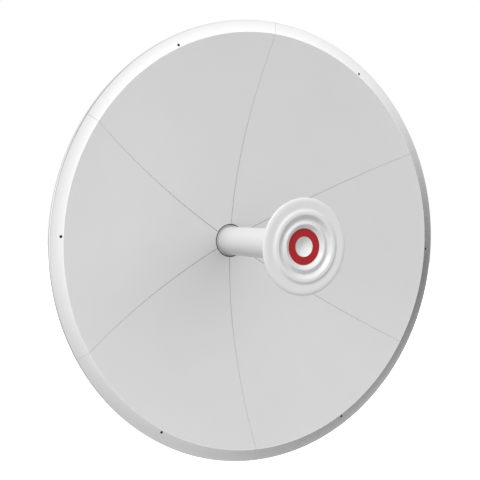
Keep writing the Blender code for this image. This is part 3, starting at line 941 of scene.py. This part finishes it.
def make_housing_block(sizes):
    """The housing, with shallow grooves along its top and both sides."""
    low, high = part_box("feed_housing")
    housing = new_object("housing_block", rounded_block(low, high, 1, sizes.corner))
    margin, half_width, pitch, past = 0.006, 0.0009, 0.0064, 0.001
    y0, y1 = low.y + margin, high.y - margin
    tool = bmesh.new()
    for place in (-2, -1, 0, 1, 2):
        start, end = place * pitch - half_width, place * pitch + half_width
        add_block(tool, (start, y0, high.z - sizes.rib), (end, y1, high.z + past))
        add_block(tool, (high.x - sizes.rib, y0, start), (high.x + past, y1, end))
        add_block(tool, (low.x - past, y0, start), (low.x + sizes.rib, y1, end))
    cut_out(housing, new_object("groove_tool", tool))
    round_edges(housing, width=0.0005)
    finish_piece(housing, "painted_casting", "feed_housing")


def make_cover(sizes):
    """The flat cover on the rear of the housing."""
    cover = new_object("cover_plate", rounded_block(*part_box("housing_cover"), 1, sizes.corner))
    round_edges(cover, width=0.0006, segments=3)
    finish_piece(cover, "painted_casting", "housing_cover")


def hanging(node):
    """The placement, radius and height of a round piece that points down in its node's box."""
    low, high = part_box(node)
    top = Vector(((low.x + high.x) / 2, (low.y + high.y) / 2, high.z))
    return along(top, (0, 0, -1)), (high.x - low.x) / 2, high.z - low.z


def make_connector(sizes, side):
    """A threaded connector that points down: a hexagonal base and a barrel with its thread."""
    place, radius, height = hanging(f"connector_{side}")
    base, bevel, bevel_height = 0.003, 0.0008, 0.0006
    barrel, tip, pitch = 0.0078, 0.0072, 0.001
    bm = bmesh.new()
    turn_solid(bm, [(0, 0), (radius, 0), (radius, base - bevel_height), (radius - bevel, base),
                    (0, base)], HEX, place)
    thread = []
    for i in range(int((height - base) / pitch) - 1):
        start = base + i * pitch
        thread += [(barrel, start + pitch / 2), (barrel - sizes.thread, start + pitch)]
    turn_solid(bm, [(0, base / 2), (barrel, base / 2)] + thread + [(tip, height), (0, height)],
               BARREL_STEPS, place)
    piece = new_object(f"threaded_connector_{side}", bm)
    finish_piece(piece, "nickel", f"connector_{side}", sharp=25)


def make_weather_cap(sizes, side):
    """A rubber cap with a flute in every third face of its side."""
    place, radius, height = hanging(f"connector_cap_{side}")
    chamfer, margin, sideways = 0.0015, 0.0002, 0.1
    bm = bmesh.new()
    turn_solid(bm, [(0, 0), (radius, 0), (radius, height - chamfer), (radius - chamfer, height),
                    (0, height)], BARREL_STEPS, place)
    bmesh.ops.recalc_face_normals(bm, faces=bm.faces)
    sides = [face for face in bm.faces if abs(face.normal.z) < sideways]
    sides.sort(key=lambda face: atan2(face.normal.y, face.normal.x))
    bmesh.ops.inset_individual(bm, faces=sides[::3], thickness=margin, depth=-sizes.flute)
    piece = new_object(f"weather_cap_{side}", bm)
    round_edges(piece, width=0.0002, angle=30)
    finish_piece(piece, "black_rubber", f"connector_cap_{side}")


class DISH_OT_housing(bpy.types.Operator):
    """Makes the feed housing, its cover, the two connectors and their weather caps"""
    bl_idname = "dish.housing"
    bl_label = "Feed housing"

    def execute(self, context):
        sizes = context.scene.dish_hub
        make_housing_block(sizes)
        make_cover(sizes)
        for side in ("left", "right"):
            make_connector(sizes, side)
            make_weather_cap(sizes, side)
        return {"FINISHED"}


# Tilt bracket and mount plate

def plate_thickness():
    """The thickness of the steel plate that ears and cheeks are made of."""
    low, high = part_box("mount_ear_right")
    return high.x - low.x


def tilt_bolt_heights(sizes):
    """The heights of the tilt pivot and of the lock bolt in the slot."""
    return (sizes.pivot_z, sizes.pivot_z - sizes.slot_radius)


def make_cheek(sizes, side, sign):
    """An angle plate bent from one sheet, with its foot on the hub."""
    low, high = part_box(f"tilt_cheek_{side}")
    inner, outer = sorted((abs(low.x), abs(high.x)))
    plate = plate_thickness()
    face, back = inner + plate, low.y + plate
    outline = fillet((inner, high.y), (inner, low.y), (outer, low.y), sizes.bend + plate, 6)
    outline += [(outer, low.y), (outer, back)]
    outline += fillet((outer, back), (face, back), (face, high.y), sizes.bend, 6)
    outline += [(face, high.y), (inner, high.y)]
    bm = extruded([(sign * x, y, low.z) for x, y in outline], (0, 0, high.z - low.z))
    round_edges_along(bm, 0, sizes.cheek_corner, lambda spot: abs(spot.y - high.y) < NEAR)
    round_edges_along(bm, 1, sizes.foot_corner, lambda spot: abs(abs(spot.x) - outer) < NEAR)
    piece = new_object(f"bent_cheek_{side}", bm)
    spots = [(sign * inner, sizes.pivot_y, z) for z in tilt_bolt_heights(sizes)]
    cut_out(piece, hole_tool("bolt_hole_tool", spots, (1, 0, 0), REACH, sizes.hole))
    round_edges(piece, width=0.0004)
    finish_piece(piece, "zinc_steel", f"tilt_cheek_{side}")


def slot_outline(sizes):
    """The slot round the tilt pivot, as (y, z) points: two arcs joined by round ends."""
    pivot, radius, half = (sizes.pivot_y, sizes.pivot_z), sizes.slot_radius, sizes.hole
    first, last = -pi / 2 - sizes.slot_swing, -pi / 2 + sizes.slot_swing
    steps, end_steps = 16, 12
    outer = arc(pivot, radius + half, first, last, steps)
    inner = arc(pivot, radius - half, last, first, steps)
    last_end = arc(polar(pivot, radius, last), half, last, last + pi, end_steps)
    first_end = arc(polar(pivot, radius, first), half, first + pi, first + tau, end_steps)
    return outer + last_end[1:-1] + inner + first_end[1:-1]


def tilt_marks(sizes, face_x):
    """Short lines engraved below the slot, one for each step of tilt, every second one longer."""
    bm = bmesh.new()
    pivot = Vector((face_x, sizes.pivot_y, sizes.pivot_z))
    off_slot, half_width, step = 0.0012, 0.00025, radians(4)
    short, tall = 0.0022, 0.0035
    start = sizes.slot_radius + sizes.hole + off_slot
    for place in range(-4, 5):
        reach = tall if place % 2 == 0 else short
        low = pivot + Vector((-sizes.mark_depth, -half_width, -start - reach))
        high = pivot + Vector((sizes.mark_depth, half_width, -start))
        made = add_block(bm, low, high)
        bmesh.ops.rotate(bm, verts=made["verts"], cent=pivot,
                         matrix=Matrix.Rotation(step * place, 3, "X"))
    return new_object("mark_tool", bm)


def make_ear(sizes, side, sign):
    """An ear of the mount plate, with its pivot hole, its arc slot and its tilt marks."""
    low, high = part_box(f"mount_ear_{side}")
    bm = rounded_block(low, high, 0, sizes.ear_corner, lambda spot: abs(spot.y - low.y) < NEAR)
    piece = new_object(f"ear_plate_{side}", bm)
    hole = hole_tool("pivot_hole_tool", [((low.x + high.x) / 2, sizes.pivot_y, sizes.pivot_z)],
                     (1, 0, 0), REACH, sizes.hole)
    points = [(low.x - REACH, y, z) for y, z in slot_outline(sizes)]
    slot = new_object("slot_tool", extruded(points, (high.x - low.x + 2 * REACH, 0, 0)))
    cut_out(piece, hole, slot, tilt_marks(sizes, high.x if sign > 0 else low.x))
    round_edges(piece, width=0.0003)
    finish_piece(piece, "zinc_steel", f"mount_ear_{side}")


def make_mount_plate(sizes):
    """The plate that goes on a wall or a mast, with a hole near each corner."""
    bm = rounded_block(*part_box("mount_plate"), 1, sizes.plate_corner)
    piece = new_object("wall_plate", bm)
    spots = [(x, 0, z) for x in (-sizes.mount_hole_x, sizes.mount_hole_x)
             for z in (-sizes.mount_hole_z, sizes.mount_hole_z)]
    cut_out(piece, hole_tool("mount_hole_tool", spots, (0, 1, 0), 2 * REACH, sizes.mount_hole))
    round_edges(piece, width=0.0005)
    finish_piece(piece, "zinc_steel", "mount_plate")


def make_welds(sizes):
    """Fillet welds where the ears meet the mount plate, with the ripples of the bead."""
    bm = bmesh.new()
    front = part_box("mount_plate")[0].y
    half_run, pitch, steps = 0.042, 0.0016, 16
    trough, trough_before = 0.86, 0.4
    outline = [(0, -half_run)]
    for i in range(int(2 * half_run / pitch)):
        y = -half_run + (i + 0.5) * pitch
        outline += [(trough * sizes.weld, y - trough_before * pitch), (sizes.weld, y)]
    outline.append((0, half_run))
    for side in ("left", "right"):
        low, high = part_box(f"mount_ear_{side}")
        for x in (low.x, high.x):
            turn_solid(bm, outline, steps, along((x, front, 0), (0, 0, 1)))
    finish_piece(new_object("ear_welds", bm), "weld_metal", slot="zinc_steel")


class DISH_OT_bracket(bpy.types.Operator):
    """Makes the tilt cheeks, the mount plate, its two ears and their welds"""
    bl_idname = "dish.bracket"
    bl_label = "Tilt bracket"

    def execute(self, context):
        sizes = context.scene.dish_bracket
        for side, sign in (("left", -1), ("right", 1)):
            make_cheek(sizes, side, sign)
            make_ear(sizes, side, sign)
        make_mount_plate(sizes)
        make_welds(sizes)
        return {"FINISHED"}


# Bolts, nuts and screws

def add_washer(bm, place, start, radius, thick):
    """A plain round washer."""
    turn_solid(bm, band(0, radius, start, start + thick), SMALL_STEPS, place)


def add_hexagon(bm, place, start, radius, thick):
    """A bolt head or nut with its corners turned off at the far end."""
    end, chamfer = start + thick, 0.12 * radius
    shoulder = end - 0.6 * chamfer
    turn_solid(bm, [(0, start), (radius, start), (radius, shoulder), (radius - chamfer, end),
                    (0, end)], HEX, place)


def add_fastener(bm, place, start, washer, washer_thick, radius, thick):
    """A washer with a bolt head or nut on it."""
    add_washer(bm, place, start, washer, washer_thick)
    add_hexagon(bm, place, start + washer_thick, radius, thick)


def add_stud(bm, place, start, end, radius, pitch):
    """A threaded end that stands out of a nut."""
    root, tip = 0.9 * radius, 0.85 * radius
    outline = [(0, start)]
    for i in range(max(1, int((end - start) / pitch))):
        y = start + i * pitch
        outline += [(root, y), (radius, y + pitch / 2)]
    turn_solid(bm, outline + [(tip, end), (0, end)], SMALL_STEPS, place)


def make_tilt_bolt(name, side, sign):
    """A hexagon bolt through ear and cheek, with washers and nut."""
    node = f"{name}_{side}"
    low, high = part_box(node)
    middle = (low + high) / 2
    head_end, nut_end = sorted((abs(low.x), abs(high.x)), reverse=True)
    radius, head, nut, washer, thick = 0.0075, 0.0053, 0.0064, 0.0085, 0.0016
    shank, pitch, inside, outside = 0.004, 0.00125, 0.001, 0.002
    place = along((0, middle.y, middle.z), (sign, 0, 0))
    bm = bmesh.new()
    add_hexagon(bm, place, head_end - head, radius, head)
    add_washer(bm, place, head_end - head - thick, washer, thick)
    add_washer(bm, place, nut_end + nut, washer, thick)
    turn_solid(bm, band(0, shank, nut_end + inside, head_end - head), SMALL_STEPS, place)
    back = along((0, middle.y, middle.z), (-sign, 0, 0))
    add_hexagon(bm, back, -nut_end - nut, radius, nut)
    add_stud(bm, back, -nut_end - inside, -nut_end + outside, shank, pitch)
    piece = new_object(f"hex_{node}", bm)
    round_edges(piece, width=0.0002, angle=30)
    finish_piece(piece, "bolt_steel", node)


def make_flange_bolts(reflector):
    """Three bolts through each pair of seam flanges."""
    radius, head, nut, washer, washer_thick = 0.004, 0.0028, 0.0032, 0.0046, 0.0008
    stud, stud_radius, pitch = 0.0022, 0.002, 0.0007
    rings, behind = (0.125, 0.2, 0.275), 0.0088
    bm = bmesh.new()
    for seam in range(reflector.petals):
        turn = tau * seam / reflector.petals
        across = Vector((cos(turn), 0, -sin(turn)))
        for ring in rings:
            side = half_gap(reflector, ring) + reflector.sheet
            spot = Vector((ring * sin(turn), bowl_y(reflector, ring) + behind, ring * cos(turn)))
            for facing, thick in ((across, head), (-across, nut)):
                add_fastener(bm, along(spot, facing), side, washer, washer_thick, radius, thick)
            end = side + nut + stud
            add_stud(bm, along(spot, -across), side + nut, end, stud_radius, pitch)
    finish_piece(new_object("flange_bolts", bm), "bolt_steel", sharp=25)


def make_hub_fasteners():
    """Stud nuts that clamp the petals to the hub, and the bolts of the cheeks' feet."""
    ring, foot_x, foot_z, lift = 0.070, 0.064, 0.028, 0.0001
    washer, washer_thick, radius, nut, head = 0.0066, 0.0012, 0.0058, 0.005, 0.004
    stud_start, stud_end, stud_radius, pitch = 0.006, 0.0085, 0.003, 0.001
    bm = bmesh.new()
    hub_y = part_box("hub_plate")[1].y
    for turn in (0, 30, 150, 180, 210, 330):
        place = along((ring * sin(radians(turn)), hub_y, ring * cos(radians(turn))), (0, 1, 0))
        add_fastener(bm, place, lift, washer, washer_thick, radius, nut)
        add_stud(bm, place, stud_start, stud_end, stud_radius, pitch)
    foot_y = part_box("tilt_cheek_right")[0].y + plate_thickness()
    for x in (-foot_x, foot_x):
        for z in (-foot_z, foot_z):
            place = along((x, foot_y, z), (0, 1, 0))
            add_fastener(bm, place, lift, washer, washer_thick, radius, head)
    finish_piece(new_object("hub_fasteners", bm), "bolt_steel", sharp=25)


def make_cover_screws():
    """Cap screws with a socket in each corner of the housing's cover."""
    cover_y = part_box("housing_cover")[1].y
    radius, height, chamfer = 0.0035, 0.0028, 0.0004
    socket, depth, off = 0.0016, 0.0015, 0.0245
    outline = [(0, height - depth), (socket, height - depth), (socket, height),
               (radius - chamfer, height), (radius, height - chamfer), (radius, 0), (0, 0)]
    bm = bmesh.new()
    for x in (-off, off):
        for z in (-off, off):
            turn_solid(bm, outline, SMALL_STEPS, along((x, cover_y, z), (0, 1, 0)))
    finish_piece(new_object("cover_screws", bm), "bolt_steel", sharp=25)


def make_lip_inserts(reflector):
    """Blind rivet nuts behind the holes in the lip, near black as painted shade: from the front
    each shows as a dark hole.
    """
    collar, bore, neck = 0.0032, 0.0016, reflector.lip_hole - 0.0001
    front, shoulder, floor, back, chamfer = 0.0006, 0.0016, 0.0056, 0.0068, 0.0006
    outline = [(0, floor), (bore, floor), (bore, front), (neck, front), (neck, shoulder),
               (collar, shoulder), (collar, back - chamfer), (collar - chamfer, back), (0, back)]
    bm = bmesh.new()
    for spot in lip_spots(reflector):
        turn_solid(bm, outline, SMALL_STEPS, along(spot, (0, 1, 0)))
    finish_piece(new_object("lip_inserts", bm), "black_hole_shade", sharp=25, slot="bolt_steel")


class DISH_OT_fasteners(bpy.types.Operator):
    """Makes the tilt bolts, flange bolts, hub nuts, foot bolts, cover screws and lip inserts"""
    bl_idname = "dish.fasteners"
    bl_label = "Bolts and nuts"

    def execute(self, context):
        reflector = context.scene.dish_reflector
        for side, sign in (("left", -1), ("right", 1)):
            make_tilt_bolt("tilt_pivot", side, sign)
            make_tilt_bolt("tilt_lock", side, sign)
        make_flange_bolts(reflector)
        make_hub_fasteners()
        make_cover_screws()
        make_lip_inserts(reflector)
        return {"FINISHED"}


# Studio

def direction(azimuth, elevation):
    """The unit vector towards a light or a camera; azimuth 0 is in front of the dish."""
    return Vector((sin(azimuth) * cos(elevation), -cos(azimuth) * cos(elevation), sin(elevation)))


def make_camera(studio):
    """The camera, turned round the dish, lifted, and rolled about its view line."""
    back = direction(studio.azimuth, studio.elevation)
    level = Vector((cos(studio.azimuth), sin(studio.azimuth), 0))
    upright = back.cross(level)
    right = level * cos(studio.roll) + upright * sin(studio.roll)
    up = upright * cos(studio.roll) - level * sin(studio.roll)
    data = bpy.data.cameras.new("camera")
    data.lens = studio.lens
    data.shift_x = studio.shift_x
    data.shift_y = studio.shift_y
    camera = bpy.data.objects.new("camera", data)
    place = Matrix.Translation(Vector(studio.target) + back * studio.distance)
    camera.matrix_world = place @ Matrix((right, up, back)).transposed().to_4x4()
    bpy.context.scene.collection.objects.link(camera)
    bpy.context.scene.camera = camera


# The soft lights and dark screens of the studio, by the names of their settings
SOURCES = ("fill", "side", "upper_screen", "near_screen", "side_screen", "low_screen",
           "floor_screen", "rear", "rear_screen")


def soft_source(tree, view, strength, azimuth, elevation, sharpness):
    """A round soft light in the world: strength * exp(sharpness * (cosine - 1))."""
    towards = direction(radians(azimuth), radians(elevation))
    dot = add_node(tree, "ShaderNodeVectorMath", {0: view, 1: towards}, operation="DOT_PRODUCT")
    below_one = math_node(tree, "SUBTRACT", dot.outputs["Value"], 1.0)
    scaled = math_node(tree, "MULTIPLY", below_one, sharpness)
    return math_node(tree, "MULTIPLY", math_node(tree, "EXPONENT", scaled), strength)


def make_world(studio):
    """A white surround for the camera, and soft light and dark screens for the object."""
    world = bpy.data.worlds.new("studio")
    world.use_nodes = True
    tree = world.node_tree
    view = add_node(tree, "ShaderNodeTexCoord", {}).outputs["Generated"]
    total = studio.surround
    for name in SOURCES:
        total = math_node(tree, "ADD", soft_source(tree, view, *getattr(studio, name)), total)
    lit = math_node(tree, "MAXIMUM", total)
    seen = add_node(tree, "ShaderNodeLightPath", {}).outputs["Is Camera Ray"]
    strength = add_node(tree, "ShaderNodeMix", {"Factor": seen, "A": lit, "B": 1.0})
    background = tree.nodes["Background"]
    tree.links.new(strength.outputs["Result"], background.inputs["Strength"])
    background.inputs["Color"].default_value = (1, 1, 1, 1)
    bpy.context.scene.world = world


def make_feed_lamp(studio):
    """A wide lamp from the upper left that lights the feed and leaves the petals alone."""
    data = bpy.data.lights.new("feed_lamp", "SUN")
    data.energy = studio.feed_lamp
    data.angle = studio.feed_lamp_width
    lamp = bpy.data.objects.new("feed_lamp", data)
    towards = direction(studio.feed_lamp_azimuth, studio.feed_lamp_elevation)
    lamp.rotation_euler = towards.to_track_quat("Z", "Y").to_euler()
    bpy.context.scene.collection.objects.link(lamp)
    feed = bpy.data.collections.new("feed_pieces")
    for name in ("tube_shell", "collar_ring", "head_flare", "head_disc", "red_insert",
                 "middle_cap"):
        feed.objects.link(bpy.data.objects[name])
    lamp.light_linking.receiver_collection = feed


def make_floor(height):
    """A wide pale disc that the camera sees and that leaves the object's light alone."""
    radius, steps = 40, 96
    bm = bmesh.new()
    bmesh.ops.create_circle(bm, cap_ends=True, segments=steps, radius=radius,
                            matrix=Matrix.Translation((0, 0, height)))
    floor = new_object("floor", bm)
    pale = bpy.data.materials.new("pale_floor")
    pale.use_nodes = True
    shader = pale.node_tree.nodes["Principled BSDF"]
    shader.inputs["Base Color"].default_value = (0.9, 0.9, 0.9, 1)
    shader.inputs["Emission Color"].default_value = (1, 1, 1, 1)
    shader.inputs["Emission Strength"].default_value = 1.0
    floor.data.materials.append(pale)
    floor.visible_diffuse = False
    floor.visible_glossy = False
    floor.visible_shadow = False


class DISH_OT_studio(bpy.types.Operator):
    """Makes the camera, the soft light, the lamp on the feed and the pale floor"""
    bl_idname = "dish.studio"
    bl_label = "Studio"

    def execute(self, context):
        studio = context.scene.dish_studio
        make_camera(studio)
        make_world(studio)
        make_feed_lamp(studio)
        make_floor(studio.floor_z)
        context.scene.view_settings.view_transform = "Standard"
        return {"FINISHED"}


class DISH_PT_panel(bpy.types.Panel):
    """Lists the operators that build the antenna"""
    bl_label = "Dish antenna"
    bl_idname = "DISH_PT_panel"
    bl_space_type = "VIEW_3D"
    bl_region_type = "UI"
    bl_category = "Dish"

    def draw(self, context):
        for operator in OPERATORS:
            self.layout.operator(operator.bl_idname)


OPERATORS = (DISH_OT_reflector, DISH_OT_feed, DISH_OT_head, DISH_OT_hub, DISH_OT_housing,
             DISH_OT_bracket, DISH_OT_fasteners, DISH_OT_studio)
SETTINGS = {
    "dish_reflector": ReflectorSizes,
    "dish_feed": FeedSizes,
    "dish_hub": HubSizes,
    "dish_bracket": BracketSizes,
    "dish_finishes": Finishes,
    "dish_studio": Studio,
}
CLASSES = (*SETTINGS.values(), *OPERATORS, DISH_PT_panel)


def register():
    """Registers the classes and gives the scene their settings."""
    for cls in CLASSES:
        bpy.utils.register_class(cls)
    for name, group in SETTINGS.items():
        setattr(bpy.types.Scene, name, PointerProperty(type=group))


def unregister():
    """Takes the settings and the classes out again."""
    for name in SETTINGS:
        delattr(bpy.types.Scene, name)
    for cls in reversed(CLASSES):
        bpy.utils.unregister_class(cls)


def main():
    """Builds the antenna and its studio."""
    register()
    bpy.ops.dish.reflector()
    bpy.ops.dish.feed()
    bpy.ops.dish.head()
    bpy.ops.dish.hub()
    bpy.ops.dish.housing()
    bpy.ops.dish.bracket()
    bpy.ops.dish.fasteners()
    bpy.ops.dish.studio()


if __name__ == "__main__":
    main()
